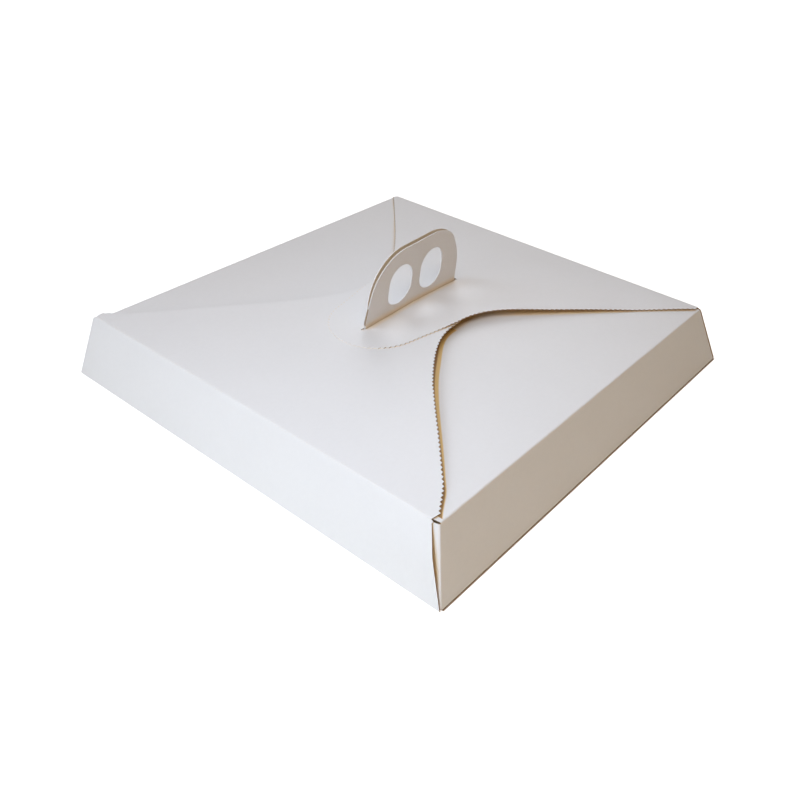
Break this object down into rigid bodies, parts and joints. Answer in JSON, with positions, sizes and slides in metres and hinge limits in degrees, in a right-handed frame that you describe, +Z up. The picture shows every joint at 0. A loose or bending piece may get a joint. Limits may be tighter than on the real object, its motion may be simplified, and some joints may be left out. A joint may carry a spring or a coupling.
{
  "type": "tart box",
  "caption": "Low square folding tart box of white-coated brown-backed board with leaning walls, an interlocking flap lid and a stand-up carrying handle with finger holes.",
  "frame": {"origin": "middle of the base, on the table", "axes": "+Z up, +X towards the wall that carries the top flap, Y along the top flap's fold and across the handle"},
  "size_m": [0.3598, 0.36, 0.112],
  "materials": {
    "board": "matt white coating outside, brown kraft back inside"
  },
  "bodies": {
    "carton": {"carton": "board"},
    "top_flap": {"top_flap": "board"}
  },
  "joints": [
    {"name": "top_flap_hinge", "type": "hinge", "parent": "carton", "child": "top_flap", "pos_m": [0.16421, 0, 0.04893], "axis": [0, 1, 0], "range_deg": [0, 165]}
  ]
}
